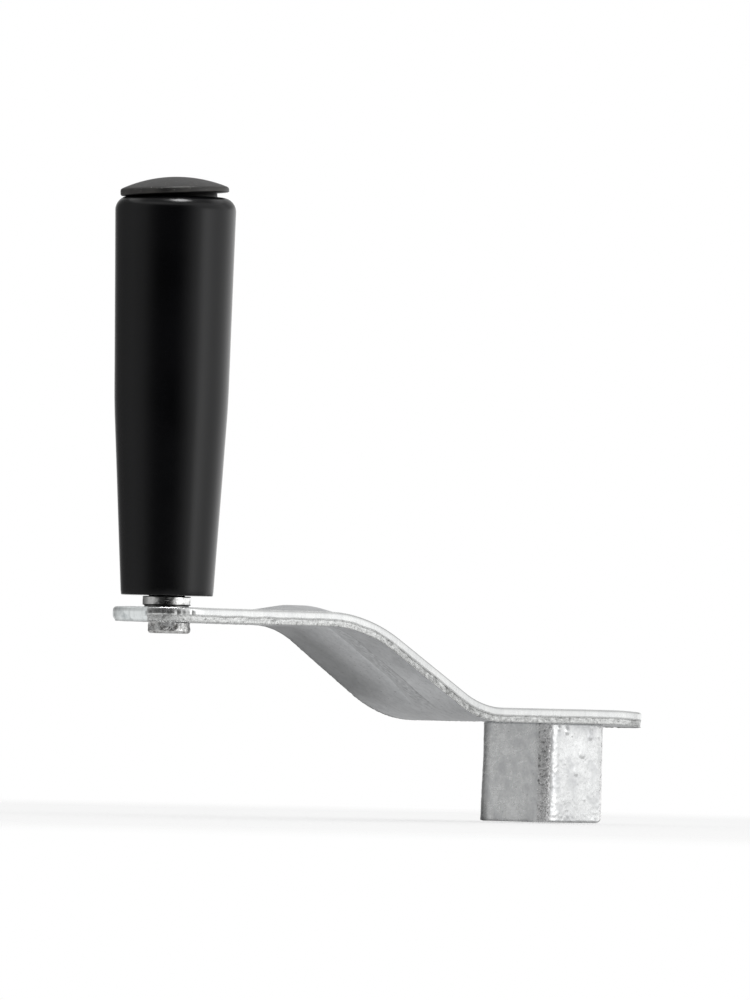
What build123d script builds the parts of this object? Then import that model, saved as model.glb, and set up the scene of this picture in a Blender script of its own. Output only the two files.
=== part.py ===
from build123d import *
import os
from math import atan2, cos, degrees, radians, sin, tan

# Crank handle: a flat steel arm with an offset, a square steel hub staked into
# one end and a freely turning plastic grip on a shouldered pin at the other.
#
# Frame, in millimetres: the origin is on the hub's bore, at the hub's lower
# face, where the driven shaft enters. +Z runs up the bore towards the grip
# and the grip pin stands at -X.

# --- driving dimensions ------------------------------------------------------

# Arm: a tapered strip, bent twice so that its two ends are parallel.
arm_thickness = 4.0
centre_distance = 161.6      # grip pin axis to hub axis
pin_end_radius = 14.8        # round end about the grip pin
hub_end_width = 42.0
hub_end_corner = 7.0
hub_end_overhang = 22.6      # hub axis to the square end
arm_offset = 25.5            # height of the grip end above the hub end
upper_flat = 65.0            # grip pin axis to the corner of the upper bend
slope_run = 48.5             # level distance between the corners of the bends
upper_bend_radius = 50.0     # on the hollow side of the bend
lower_bend_radius = 50.0     # on the hollow side of the bend
arm_edge_round = 0.6

# Stiffening rib pressed up along the middle of the arm, hollow underneath.
rib_width = 15.6
rib_height = 1.7
rib_start = 35.0             # grip pin axis to the foot of the rib
rib_rise = 14.0              # length of its ramp at each end
rib_tail = 6.0               # foot of the rib to the corner of the lower bend
rib_ramp_radius = 30.0
rib_bend_radius = 36.0       # of the crest, over the upper bend

# Hub: a square block with a threaded bore, and a spigot staked in the arm.
hub_side = 26.8
hub_height = 28.2
hub_corner = 4.7
hub_chamfer = 0.4
hub_bore_diameter = 13.9     # tapping size of an M16 thread
hub_bore_chamfer = 1.0        # at the bore's upper mouth
hub_spigot_diameter = 20.0

# Grip pin: a journal, a shoulder that stands on the arm, and a riveted tail.
journal_diameter = 10.0
shoulder_step = 1.7          # shoulder beyond the journal, all round
shoulder_height = 3.0
relief_depth = 0.5           # narrow neck at the shoulder's foot
relief_height = 0.55
tail_spigot_diameter = 10.0
tail_head_step = 0.7         # riveted head beyond the spigot, all round
tail_head_height = 3.2
tail_head_round = 0.7
pin_end_chamfer = 0.8
ring_groove_depth = 0.2
pin_end_past_ring = 2.0

# Washer and retaining ring that hold the grip on its pin.
washer_thickness = 1.5
ring_thickness = 1.0
ring_width = 1.9
ring_lug_radius = 2.0
ring_lug_hole = 1.5
ring_gap_angle = 50.0

# Grip: a long barrel that narrows towards the arm.
grip_length = 110.0
grip_foot_diameter = 25.4
grip_waist_diameter = 31.4
grip_waist_height = 52.5     # above the grip's foot
grip_top_diameter = 33.5
grip_blend_radius = 240.0    # softens the change of taper at the waist
grip_shoulder_radius = 3.9
grip_foot_round = 0.3
cap_pocket_diameter = 24.4
cap_pocket_depth = 15.0

# End cap: a domed plug, not pushed quite home, so one side stands proud.
cap_diameter = 30.0
cap_rim = 1.6
cap_dome_radius = 37.0
cap_edge_round = 0.8
cap_skirt_length = 6.0
cap_wall = 1.8
cap_tilt = 3.3
cap_raised_heading = -38.0   # direction of the raised side, from +X about +Z
cap_shift = 0.3              # towards the lower side

# Clearances.
journal_clearance = 0.05     # radial, grip on its pin
end_float = 0.25             # axial, grip between its shoulder and washer
washer_clearance = 0.1       # radial, washer on the journal
washer_rim_clearance = 1.7   # radial, washer in the grip's pocket
ring_clearance = 0.05        # axial, ring in its groove and on the washer
skirt_clearance = 0.5        # radial, cap's skirt in the grip's pocket
seat_clearance = 0.02        # cap rim on the grip

# --- sizes and places worked out from them ---------------------------------------------

overrun = 1.0                # how far a cut or blank runs past what it trims

shoulder_diameter = journal_diameter + 2 * shoulder_step
tail_head_diameter = tail_spigot_diameter + 2 * tail_head_step
ring_groove_diameter = journal_diameter - 2 * ring_groove_depth
washer_diameter = cap_pocket_diameter - 2 * washer_rim_clearance
cap_skirt_diameter = cap_pocket_diameter - 2 * skirt_clearance

pin_x = -centre_distance
upper_corner_x = pin_x + upper_flat
lower_corner_x = upper_corner_x + slope_run
slope_angle = atan2(arm_offset, slope_run)
arm_left_x = pin_x - pin_end_radius
arm_right_x = hub_end_overhang

lower_flat_z = hub_height                  # underside of the hub end
upper_flat_z = lower_flat_z + arm_offset   # underside of the grip end
pin_seat_z = upper_flat_z + arm_thickness

grip_foot_z = pin_seat_z + shoulder_height + end_float
grip_top_z = grip_foot_z + grip_length
pocket_floor_z = grip_top_z - cap_pocket_depth
washer_z = pocket_floor_z + end_float
ring_z = washer_z + washer_thickness + ring_clearance
pin_top_z = ring_z + ring_thickness + ring_clearance + pin_end_past_ring


# --- shared helpers ----------------------------------------------------------

def lowered(line, depth):
    """A rounded line of (x, z, radius) corners, moved `depth` down, square to itself."""
    moved = []
    for index, (x, z, radius) in enumerate(line):
        here = Vector(x, z)
        before = line[max(index - 1, 0)]
        after = line[min(index + 1, len(line) - 1)]
        into = (here - Vector(before[0], before[1])).normalized() if index > 0 else None
        out = (Vector(after[0], after[1]) - here).normalized() if index < len(line) - 1 else into
        into = into or out
        up_in = Vector(-into.Y, into.X)
        up_out = Vector(-out.Y, out.X)
        place = here - (up_in + up_out) * (depth / (1 + up_in.dot(up_out)))
        turns_down = into.cross(out).Z < 0
        change = -depth if turns_down else depth
        moved.append((place.X, place.Y, radius + change if radius > 0 else 0.0))
    return moved


def side_face(upper, lower):
    """The face in the XZ plane between two rounded lines."""
    corners = upper + lower[::-1]
    places = [(x, z) for x, z, radius in corners]
    radii = [radius for x, z, radius in corners]
    outline = FilletPolyline(*places, radius=radii, close=True)
    return Plane.XZ * make_face(outline)


def strip(line, depth, thickness):
    """A strip whose upper surface lies `depth` below a rounded line."""
    upper = lowered(line, depth)
    return side_face(upper, lowered(line, depth + thickness))


def ring(outer_diameter, inner_diameter, height, z=0.0):
    """A plain ring that stands on z."""
    blank = Cylinder(outer_diameter / 2, height, align=(Align.CENTER, Align.CENTER, Align.MIN))
    hole = Cylinder(inner_diameter / 2, height, align=(Align.CENTER, Align.CENTER, Align.MIN))
    return Pos(0, 0, z) * (blank - hole)


def turned(points):
    """A solid of revolution about Z from its (radius, z) outline."""
    outline = make_face(Polyline(*points, close=True))
    return revolve(Plane.XZ * outline, Axis.Z)


# --- arm ---------------------------------------------------------------------

# The arm's upper surface in side view, as (x, z, radius) corners.
arm_surface = [
    (arm_left_x - overrun, pin_seat_z, 0.0),
    (upper_corner_x, pin_seat_z, upper_bend_radius + arm_thickness),
    (lower_corner_x, lower_flat_z + arm_thickness, lower_bend_radius),
    (arm_right_x + overrun, lower_flat_z + arm_thickness, 0.0),
]


def rib_crest_line():
    """The crest of the rib in side view: a ramp, a level run, the slope and a ramp."""
    crest = lowered(arm_surface, -rib_height)
    foot_x = pin_x + rib_start
    along = Vector(cos(slope_angle), -sin(slope_angle))
    up = Vector(sin(slope_angle), cos(slope_angle))
    lower_corner = Vector(lower_corner_x, lower_flat_z + arm_thickness)
    tail_foot = lower_corner - along * rib_tail
    tail_top = tail_foot - along * rib_rise + up * rib_height
    return [
        (foot_x, pin_seat_z, 0.0),
        (foot_x + rib_rise, pin_seat_z + rib_height, rib_ramp_radius),
        (crest[1][0], crest[1][1], rib_bend_radius),
        (tail_top.X, tail_top.Y, rib_ramp_radius),
        (tail_foot.X, tail_foot.Y, 0.0),
    ]


def folded(face):
    """A ridge or groove: a side view drawn out both ways and down from the middle."""
    fall = atan2(rib_height, rib_width / 2)
    reach = (rib_width / 2 + rib_height) / cos(fall)
    near = extrude(face, amount=reach, dir=(0, -cos(fall), -sin(fall)))
    far = extrude(face, amount=reach, dir=(0, cos(fall), -sin(fall)))
    return near + far


def crank_arm():
    """The blanked, bent strip with its two holes and its pressed rib."""
    pin_end = Pos(pin_x, 0) * Circle(pin_end_radius)
    corner_x = arm_right_x - hub_end_corner
    corner_y = hub_end_width / 2 - hub_end_corner
    corners = [Pos(corner_x, side * corner_y) * Circle(hub_end_corner) for side in (-1, 1)]
    plan = make_hull(pin_end.edges() + corners[0].edges() + corners[1].edges())
    column = extrude(plan, amount=pin_seat_z + rib_height)
    sheet = extrude(strip(arm_surface, 0.0, arm_thickness), amount=hub_end_width, both=True)
    blank = column & sheet
    blank = fillet(blank.edges(), arm_edge_round)
    through = 3 * arm_thickness
    pin_hole = Pos(pin_x, 0, upper_flat_z) * Cylinder(tail_spigot_diameter / 2, through)
    hub_hole = Pos(0, 0, lower_flat_z) * Cylinder(hub_spigot_diameter / 2, through)
    blank = blank - pin_hole - hub_hole

    crest = rib_crest_line()
    ridge = folded(strip(crest, 0.0, arm_thickness))
    above_middle = side_face(
        lowered(arm_surface, -2 * rib_height), lowered(arm_surface, arm_thickness / 2))
    ridge = ridge & extrude(above_middle, amount=rib_width, both=True)
    groove = folded(strip(crest, arm_thickness, 2 * rib_height))
    return blank + ridge - groove


# --- hub ---------------------------------------------------------------------

def hub():
    """The square block with its bore, and the spigot that fills the arm's hole."""
    square = RectangleRounded(hub_side, hub_side, hub_corner)
    block = extrude(square, amount=hub_height)
    block = chamfer(block.edges().group_by(Axis.Z)[0], hub_chamfer)
    spigot = Pos(0, 0, hub_height) * Cylinder(
        hub_spigot_diameter / 2, arm_thickness, align=(Align.CENTER, Align.CENTER, Align.MIN))
    body = block + spigot
    radius = hub_bore_diameter / 2
    top = hub_height + arm_thickness
    bore = turned([
        (0, 0), (radius, 0), (radius, top - hub_bore_chamfer),
        (radius + hub_bore_chamfer, top), (0, top),
    ])
    return body - bore


# --- grip pin and what holds the grip on it ----------------------------------

def grip_pin():
    """The turned pin, riveted under the arm and grooved for the retaining ring."""
    tail_z = upper_flat_z - tail_head_height
    head = tail_head_diameter / 2
    journal = journal_diameter / 2
    neck = shoulder_diameter / 2 - relief_depth
    groove = ring_groove_diameter / 2
    groove_z = ring_z - ring_clearance
    groove_top_z = ring_z + ring_thickness + ring_clearance
    shape = turned([
        (0, tail_z), (head - tail_head_round, tail_z),
        (head, tail_z + tail_head_round), (head, upper_flat_z),
        (tail_spigot_diameter / 2, upper_flat_z), (tail_spigot_diameter / 2, pin_seat_z),
        (neck, pin_seat_z), (neck, pin_seat_z + relief_height),
        (shoulder_diameter / 2, pin_seat_z + relief_height),
        (shoulder_diameter / 2, pin_seat_z + shoulder_height),
        (journal, pin_seat_z + shoulder_height), (journal, groove_z),
        (groove, groove_z), (groove, groove_top_z),
        (journal, groove_top_z), (journal, pin_top_z - pin_end_chamfer),
        (journal - pin_end_chamfer, pin_top_z), (0, pin_top_z),
    ])
    return Pos(pin_x, 0) * shape


def grip_washer():
    """The washer over the floor of the grip's pocket."""
    bore = journal_diameter + 2 * washer_clearance
    return Pos(pin_x, 0) * ring(washer_diameter, bore, washer_thickness, washer_z)


def retaining_ring():
    """An open ring with two eyed lugs, sprung into the pin's groove."""
    inner = ring_groove_diameter / 2
    outer = inner + ring_width
    lug_r = inner + ring_lug_radius
    half_gap = ring_gap_angle / 2
    bar = ring(2 * outer, 2 * inner, ring_thickness)
    reach = 2 * outer
    opening = make_face(Polyline(
        (0, 0),
        (reach * cos(radians(half_gap)), -reach * sin(radians(half_gap))),
        (reach * cos(radians(half_gap)), reach * sin(radians(half_gap))),
        close=True))
    bar = bar - extrude(opening, amount=ring_thickness)
    for side in (-1, 1):
        angle = side * (half_gap + degrees(ring_lug_radius / lug_r))
        place = Rot(0, 0, angle) * Pos(lug_r, 0)
        lug = extrude(Circle(ring_lug_radius) - Circle(ring_lug_hole / 2), amount=ring_thickness)
        bar = bar + place * lug - place * extrude(Circle(ring_lug_hole / 2), amount=ring_thickness)
    core = extrude(Circle(inner), amount=ring_thickness)
    return Pos(pin_x, 0, ring_z) * (bar - core)


# --- grip and its cap --------------------------------------------------------

def handle_grip():
    """The barrel with its bore for the pin and the pocket at its top."""
    foot = grip_foot_diameter / 2
    waist = grip_waist_diameter / 2
    top = grip_top_diameter / 2
    outline = FilletPolyline(
        (0, 0), (foot, 0), (waist, grip_waist_height), (top, grip_length), (0, grip_length),
        radius=[0, grip_foot_round, grip_blend_radius, grip_shoulder_radius, 0], close=True)
    barrel = revolve(Plane.XZ * make_face(outline), Axis.Z)
    bore_radius = journal_diameter / 2 + journal_clearance
    bore = Cylinder(bore_radius, 2 * grip_length)
    floor = grip_length - cap_pocket_depth
    pocket = Pos(0, 0, floor) * Cylinder(
        cap_pocket_diameter / 2, grip_length, align=(Align.CENTER, Align.CENTER, Align.MIN))
    return Pos(pin_x, 0, grip_foot_z) * (barrel - bore - pocket)


def end_cap():
    """A shallow dome on a rim, with a hollow skirt that enters the grip's pocket."""
    rim = cap_diameter / 2
    dome_drop = cap_dome_radius - (cap_dome_radius ** 2 - rim ** 2) ** 0.5
    crown = cap_rim + dome_drop
    outline = Line((0, 0), (rim, 0)) + Line((rim, 0), (rim, cap_rim))
    outline += RadiusArc((rim, cap_rim), (0, crown), -cap_dome_radius) + Line((0, crown), (0, 0))
    profile = make_face(outline)
    corner = profile.vertices().sort_by_distance((rim, cap_rim, 0))[0]
    profile = fillet(corner, cap_edge_round)
    head = revolve(Plane.XZ * profile, Axis.Z)
    inner = cap_skirt_diameter - 2 * cap_wall
    skirt = ring(cap_skirt_diameter, inner, cap_skirt_length, -cap_skirt_length)
    cap = head + skirt
    # The rim's lower side rests where the grip's flat top turns into its shoulder.
    tilt = radians(cap_tilt)
    flat_radius = grip_top_diameter / 2 - grip_shoulder_radius
    rest_radius = min(flat_radius - cap_shift, rim)
    shoulder_rise = grip_shoulder_radius * (1 / cos(tilt) - 1)
    lift = rest_radius * tan(tilt) + shoulder_rise + seat_clearance
    stance = Rot(0, 0, cap_raised_heading) * Pos(-cap_shift, 0) * Rot(0, -cap_tilt, 0)
    return Pos(pin_x, 0, grip_top_z + lift) * stance * cap


parts = {
    "crank_arm": crank_arm(),
    "hub": hub(),
    "grip_pin": grip_pin(),
    "grip_washer": grip_washer(),
    "retaining_ring": retaining_ring(),
    "handle_grip": handle_grip(),
    "end_cap": end_cap(),
}

os.makedirs("parts", exist_ok=True)
for name, shape in parts.items():
    export_step(shape, os.path.join("parts", name + ".step"))
    print(name, round(shape.volume), shape.bounding_box())
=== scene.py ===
from math import atan2, ceil, cos, degrees, exp, hypot, pi, radians, sin, sqrt, tan

import bpy
from mathutils import Matrix, Vector, noise


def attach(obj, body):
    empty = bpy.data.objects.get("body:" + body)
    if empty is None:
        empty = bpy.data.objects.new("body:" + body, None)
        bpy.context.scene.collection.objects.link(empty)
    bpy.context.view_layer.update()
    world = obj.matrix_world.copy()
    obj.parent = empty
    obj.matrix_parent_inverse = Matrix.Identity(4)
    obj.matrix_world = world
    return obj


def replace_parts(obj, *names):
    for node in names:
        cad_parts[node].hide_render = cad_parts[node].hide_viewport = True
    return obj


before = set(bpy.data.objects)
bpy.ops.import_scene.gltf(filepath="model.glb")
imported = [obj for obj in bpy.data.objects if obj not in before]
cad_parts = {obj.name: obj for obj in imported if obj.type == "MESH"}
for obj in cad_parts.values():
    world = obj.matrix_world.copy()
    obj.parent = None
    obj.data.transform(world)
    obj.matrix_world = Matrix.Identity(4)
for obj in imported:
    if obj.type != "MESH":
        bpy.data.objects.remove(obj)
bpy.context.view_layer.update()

MM = 0.001

# --- sizes that part.py sets, in metres ---

PIN_X = -161.6 * MM              # grip pin axis; the hub's axis is at x = 0
PIN_CENTRE = (PIN_X, 0.0)
ARM_THICKNESS = 4.0 * MM
BEND_RADIUS = 50.0 * MM          # of both bends, on the hollow side
PIN_END_RADIUS = 14.8 * MM
HUB_END_HALF_WIDTH = 21.0 * MM
HUB_END_CORNER = 7.0 * MM
ARM_RIGHT_X = 22.6 * MM
CORNER_CENTRE = (ARM_RIGHT_X - HUB_END_CORNER, HUB_END_HALF_WIDTH - HUB_END_CORNER)
UPPER_CORNER_X = -96.6 * MM
LOWER_CORNER_X = -48.1 * MM

RIB_HALF_WIDTH = 7.8 * MM
RIB_HEIGHT = 1.7 * MM
RIB_FOOT_X = -126.6 * MM
RIB_RISE = 14.0 * MM
RIB_TAIL = 6.0 * MM
RIB_RAMP_RADIUS = 30.0 * MM
RIB_BEND_RADIUS = 36.0 * MM

HUB_HALF = 13.4 * MM
HUB_CORNER = 4.7 * MM
HUB_HEIGHT = 28.2 * MM
HUB_CHAMFER = 0.4 * MM
BORE_RADIUS = 6.95 * MM
SPIGOT_RADIUS = 10.0 * MM        # of the hub, staked in the arm
LOWER_TOP_Z = 32.2 * MM          # upper surface of the hub end
UPPER_TOP_Z = 57.7 * MM          # upper surface of the grip end

JOURNAL_RADIUS = 5.0 * MM
TAIL_SPIGOT_RADIUS = 5.0 * MM    # of the pin, in the arm
SHOULDER_RADIUS = 6.7 * MM
SHOULDER_HEIGHT = 3.0 * MM
TAIL_Z = 50.5 * MM               # lower face of the hammered tail
TAIL_TOP_Z = 53.7 * MM           # lower surface of the arm there
WASHER_AND_PLAY = 1.75 * MM      # from the floor of the pocket to the ring groove

GRIP_FOOT_Z = 60.95 * MM
GRIP_LENGTH = 110.0 * MM
GRIP_FOOT_RADIUS = 12.7 * MM
GRIP_WAIST = (52.5 * MM, 15.7 * MM)       # height above the foot, and radius
GRIP_BLEND = 240.0 * MM
GRIP_TOP_RADIUS = 16.75 * MM
GRIP_SHOULDER = 3.9 * MM
GRIP_BORE = 5.05 * MM
POCKET_RADIUS = 12.2 * MM
POCKET_DEPTH = 15.0 * MM

CAP_RADIUS = 15.0 * MM
CAP_RIM = 1.6 * MM
CAP_DOME = 37.0 * MM
CAP_SKIRT = 11.7 * MM
CAP_SKIRT_INSIDE = 9.9 * MM
CAP_SKIRT_LENGTH = 6.0 * MM
CAP_TILT = radians(3.3)
CAP_HEADING = radians(-38.0)
CAP_SHIFT = 0.3 * MM
SEAT_CLEARANCE = 0.02 * MM

# --- camera ---

CAMERA_TARGET = Vector((-0.080, 0.0, 0.085))
CAMERA_AZIMUTH = radians(-48.96)
CAMERA_ELEVATION = radians(-0.86)
CAMERA_DISTANCE = 4.0
CAMERA_ASIDE = 0.0032
CAMERA_RAISED = 0.0045
CAMERA_ROLL = radians(1.30)      # the picture leans to the right
CAMERA_SENSOR = 36.0
CAMERA_LENS = 14.28 * CAMERA_SENSOR


def add_camera():
    """The camera at the photograph's viewing angle."""
    toward = Vector((sin(CAMERA_AZIMUTH) * cos(CAMERA_ELEVATION),
                     -cos(CAMERA_AZIMUTH) * cos(CAMERA_ELEVATION),
                     sin(CAMERA_ELEVATION)))
    right = Vector((cos(CAMERA_AZIMUTH), sin(CAMERA_AZIMUTH), 0.0))
    up = toward.cross(right)
    place = CAMERA_TARGET + toward * CAMERA_DISTANCE + right * CAMERA_ASIDE + up * CAMERA_RAISED
    turned_right = right * cos(CAMERA_ROLL) + up * sin(CAMERA_ROLL)
    turned_up = up * cos(CAMERA_ROLL) - right * sin(CAMERA_ROLL)
    data = bpy.data.cameras.new("camera")
    data.lens = CAMERA_LENS
    data.sensor_width = CAMERA_SENSOR
    data.clip_end = 50.0
    camera = add_object("camera", data)
    axes = Matrix((turned_right, turned_up, toward)).transposed().to_4x4()
    camera.matrix_world = Matrix.Translation(place) @ axes
    bpy.context.scene.camera = camera


# --- shared helpers ---

def add_object(name, data):
    """A new object in the scene."""
    thing = bpy.data.objects.new(name, data)
    bpy.context.scene.collection.objects.link(thing)
    return thing


def add_mesh(name, points, faces, materials, body, face_materials=None, tones=None):
    """A smooth-shaded piece that rides on a CAD body."""
    mesh = bpy.data.meshes.new(name)
    mesh.from_pydata(points, [], faces)
    for material in materials:
        mesh.materials.append(material)
    mesh.polygons.foreach_set("use_smooth", [True] * len(mesh.polygons))
    if face_materials:
        mesh.polygons.foreach_set("material_index", face_materials)
    if tones:
        tone = mesh.attributes.new("tone", "FLOAT", "POINT")
        tone.data.foreach_set("value", tones)
    mesh.validate()
    mesh.update()
    piece = add_object(name, mesh)
    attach(piece, body)
    return piece


def loft(rings, closed=False):
    """Points and faces of a skin over rings of equally many points."""
    count = len(rings[0])
    points = [point for ring in rings for point in ring]
    faces = []
    for band in range(len(rings) if closed else len(rings) - 1):
        low = band * count
        high = (band + 1) % len(rings) * count
        for step in range(count):
            after = (step + 1) % count
            faces.append((low + step, low + after, high + after, high + step))
    return points, faces


def lathe(profile, count, wobble):
    """Rings of a (radius, height) profile about Z, moved out by wobble(angle, height)."""
    rings = []
    for radius, height in profile:
        ring = []
        for step in range(count):
            angle = 2 * pi * step / count
            out = radius + wobble(angle, height)
            ring.append((out * cos(angle), out * sin(angle), height))
        rings.append(ring)
    return rings


def close_ends(points, faces, count, low, high):
    """Closes a lathed skin with a fan of triangles at its first and at its last ring."""
    for z, start, flip in ((low, 0, True), (high, len(points) - count, False)):
        pole = len(points)
        points.append((0.0, 0.0, z))
        for step in range(count):
            one, other = start + step, start + (step + 1) % count
            faces.append((other, one, pole) if flip else (one, other, pole))


def arc_points(centre, radius, start, end, steps, cut=None):
    """Points of an arc, angles from the first axis, moved in by cut(angle)."""
    points = []
    for step in range(steps + 1):
        angle = start + (end - start) * step / steps
        out = radius - (cut(angle) if cut else 0.0)
        points.append((centre[0] + out * cos(angle), centre[1] + out * sin(angle)))
    return points


def trace(start, *legs):
    """A profile from start by straight legs of (radius, height, distance between points)."""
    points = [start]
    for radius, height, step in legs:
        x, z = points[-1]
        count = max(1, ceil(hypot(radius - x, height - z) / step))
        points += [(x + (radius - x) * k / count, z + (height - z) * k / count)
                   for k in range(1, count + 1)]
    return points


def smooth(value):
    """0 to 1 with soft ends."""
    value = min(max(value, 0.0), 1.0)
    return value * value * (3 - 2 * value)


def rough(x, y, z, scale):
    """Noise from -1 to 1 with features about 1 / scale across."""
    return noise.noise(Vector((x * scale, y * scale, z * scale)))


def between(stops, at):
    """The value at a place among (place, value) stops."""
    for (start, one), (end, other) in zip(stops, stops[1:]):
        if at <= end:
            return one + (other - one) * (at - start) / (end - start)
    return stops[-1][1]


# --- arm ---

FACE, SHEARED, TORN, TUMBLED = range(4)   # the arm's materials, in order

NEAR_UPPER_BEND = 59.0 * MM      # radii on the hollow side, at the arm's -Y edge
NEAR_LOWER_BEND = 34.0 * MM
FAR_UPPER_BEND = 38.0 * MM       # and at its +Y edge
FAR_LOWER_BEND = 56.0 * MM
DROOP_X = 7.0 * MM               # beyond here the square end hangs a little
END_DROOP = 0.80 * MM

STATIONS = 420                   # grid cells along the arm
ACROSS = 64                      # grid cells across it

ROLL_INSET = 0.55 * MM           # rolled-over edge that the punch leaves on top
BURR_INSET = 0.12 * MM
ROLL_TIP_INSET = 0.65 * MM       # more of both at the round end
BURR_TIP_INSET = 0.60 * MM
SHEARED_SHARE = 0.56             # share of the edge that the punch cut clean

# The tones paint shade: the darker rows are a painted dark line along the rolled edge.
ROLL_ROWS = (                    # (reach, drop, tone) of the rolled edge, in mm
    (0.30, 0.03, 0.95), (0.52, 0.13, 0.78), (0.68, 0.32, 0.62), (0.74, 0.60, 0.82),
)
SHEARED_ROWS = 4
TORN_ROWS = 8


def lowered(line, depth):
    """A line of (x, z, radius) corners, moved down by depth, square to itself."""
    moved = []
    for index, (x, z, radius) in enumerate(line):
        before = line[max(index - 1, 0)]
        after = line[min(index + 1, len(line) - 1)]
        into = atan2(z - before[1], x - before[0]) if index > 0 else None
        out = atan2(after[1] - z, after[0] - x) if index < len(line) - 1 else into
        into = out if into is None else into
        up = Vector((-sin(into) - sin(out), cos(into) + cos(out)))
        up *= depth / (1 + cos(out - into))
        change = -depth if out < into else depth
        moved.append((x - up.x, z - up.y, radius + change if radius > 0 else 0.0))
    return moved


def heights(line):
    """The height of a rounded line as a function of x."""
    arcs = []
    for before, corner, after in zip(line, line[1:], line[2:]):
        into = atan2(corner[1] - before[1], corner[0] - before[0])
        out = atan2(after[1] - corner[1], after[0] - corner[0])
        side = 1 if out > into else -1
        cut = corner[2] * abs(sin((out - into) / 2) / cos((out - into) / 2))
        start = (corner[0] - cut * cos(into), corner[1] - cut * sin(into))
        centre = (start[0] - side * corner[2] * sin(into), start[1] + side * corner[2] * cos(into))
        arcs.append((start[0], corner[0] + cut * cos(out), centre, corner[2], side))

    def height(x):
        for start, end, centre, radius, side in arcs:
            if start <= x <= end:
                return centre[1] - side * sqrt(max(radius ** 2 - (x - centre[0]) ** 2, 0.0))
        for before, after in zip(line, line[1:]):
            if x <= after[0] or after is line[-1]:
                share = (x - before[0]) / (after[0] - before[0])
                return before[1] + share * (after[1] - before[1])

    return height


def arm_line(upper_bend, lower_bend):
    """The arm's upper surface in side view."""
    return [
        (PIN_X - 2 * PIN_END_RADIUS, UPPER_TOP_Z, 0.0),
        (UPPER_CORNER_X, UPPER_TOP_Z, upper_bend + ARM_THICKNESS),
        (LOWER_CORNER_X, LOWER_TOP_Z, lower_bend),
        (2 * ARM_RIGHT_X, LOWER_TOP_Z, 0.0),
    ]


def rib_line():
    """The crest of the pressed rib in side view."""
    corner = lowered(arm_line(BEND_RADIUS, BEND_RADIUS), -RIB_HEIGHT)[1]
    slope = atan2(UPPER_TOP_Z - LOWER_TOP_Z, LOWER_CORNER_X - UPPER_CORNER_X)
    down_slope = Vector((cos(slope), -sin(slope)))
    foot = Vector((LOWER_CORNER_X, LOWER_TOP_Z)) - down_slope * RIB_TAIL
    crown = foot - down_slope * RIB_RISE + Vector((sin(slope), cos(slope))) * RIB_HEIGHT
    return [
        (RIB_FOOT_X, UPPER_TOP_Z, 0.0),
        (RIB_FOOT_X + RIB_RISE, UPPER_TOP_Z + RIB_HEIGHT, RIB_RAMP_RADIUS),
        (corner[0], corner[1], RIB_BEND_RADIUS),
        (crown.x, crown.y, RIB_RAMP_RADIUS),
        (foot.x, foot.y, 0.0),
    ]


def soft_max(value, width):
    """value where it is above 0, rounded off over a width."""
    if value > width:
        return value
    if value < -width:
        return 0.0
    return (value + width) ** 2 / (4 * width)


def rib_rise(crest, surface, y, rounding, near_rim, far_rim):
    """How far the rib stands out of a surface at a distance y from the middle."""
    fall = RIB_HEIGHT / RIB_HALF_WIDTH * (hypot(y, rounding) - rounding)
    return soft_max(crest - fall - surface, far_rim if y > 0 else near_rim)


def tip_share(x, y):
    """1 on the outermost part of the round end, where the strip's edge was tumbled soft."""
    around = atan2(y, x - PIN_X)
    if around < 0:
        return smooth((-around - radians(152)) / radians(14))
    return smooth((around - radians(90)) / radians(30))


def tip_cut(tip_inset):
    """How far the round end is cut back, as a function of the angle round it."""
    return lambda angle: tip_inset * tip_share(PIN_X + cos(angle), sin(angle))


def outline_side(inset, tip_inset):
    """The arm's +Y side in plan, from 45 degrees on the round end to 45 on the corner."""
    pin_radius, corner_radius = PIN_END_RADIUS - inset, HUB_END_CORNER - inset
    along = (CORNER_CENTRE[0] - PIN_X, CORNER_CENTRE[1])
    change = pin_radius - corner_radius
    tangent = atan2(along[1], along[0]) + pi / 2 - \
        atan2(change, sqrt(hypot(*along) ** 2 - change ** 2))
    end = arc_points(PIN_CENTRE, pin_radius, radians(135), tangent, 24, tip_cut(tip_inset))
    return end + arc_points(CORNER_CENTRE, corner_radius, tangent, radians(45), 24)


def outline_left(inset, tip_inset):
    """The round end in plan, between its 45 degree points, from -Y to +Y."""
    return arc_points(PIN_CENTRE, PIN_END_RADIUS - inset, radians(225), radians(135), 40,
                      tip_cut(tip_inset))


def outline_right(inset):
    """The square end in plan, with the outer halves of its corners, from -Y to +Y."""
    near = (CORNER_CENTRE[0], -CORNER_CENTRE[1])
    radius = HUB_END_CORNER - inset
    return arc_points(near, radius, radians(-45), 0.0, 10) + \
        arc_points(CORNER_CENTRE, radius, 0.0, radians(45), 10)


def across_shares():
    """Where the grid's rows lie across the arm: closest at the rib's near rim and valley."""
    crowding = ((0.0, 1.0), (0.265, 1.0), (0.275, 3.0), (0.325, 3.0), (0.335, 2.0), (0.50, 2.0),
                (0.51, 1.0), (1.0, 1.0))
    steps = 1000
    total = [0.0]
    for k in range(steps):
        total.append(total[-1] + between(crowding, (k + 0.5) / steps))
    shares = []
    for step in range(ACROSS + 1):
        wanted = total[-1] * step / ACROSS
        shares.append(min(range(steps + 1), key=lambda k: abs(total[k] - wanted)) / steps)
    return shares


def placed(points, shares):
    """Points at those shares of the length of a chain of points."""
    lengths = [0.0]
    for before, after in zip(points, points[1:]):
        lengths.append(lengths[-1] + hypot(after[0] - before[0], after[1] - before[1]))
    result = []
    at = 0
    for share in shares:
        wanted = lengths[-1] * share
        while at < len(points) - 2 and lengths[at + 1] < wanted:
            at += 1
        span = lengths[at + 1] - lengths[at]
        part = (wanted - lengths[at]) / span if span else 0.0
        result.append(Vector(points[at]).lerp(Vector(points[at + 1]), part))
    return result


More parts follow.
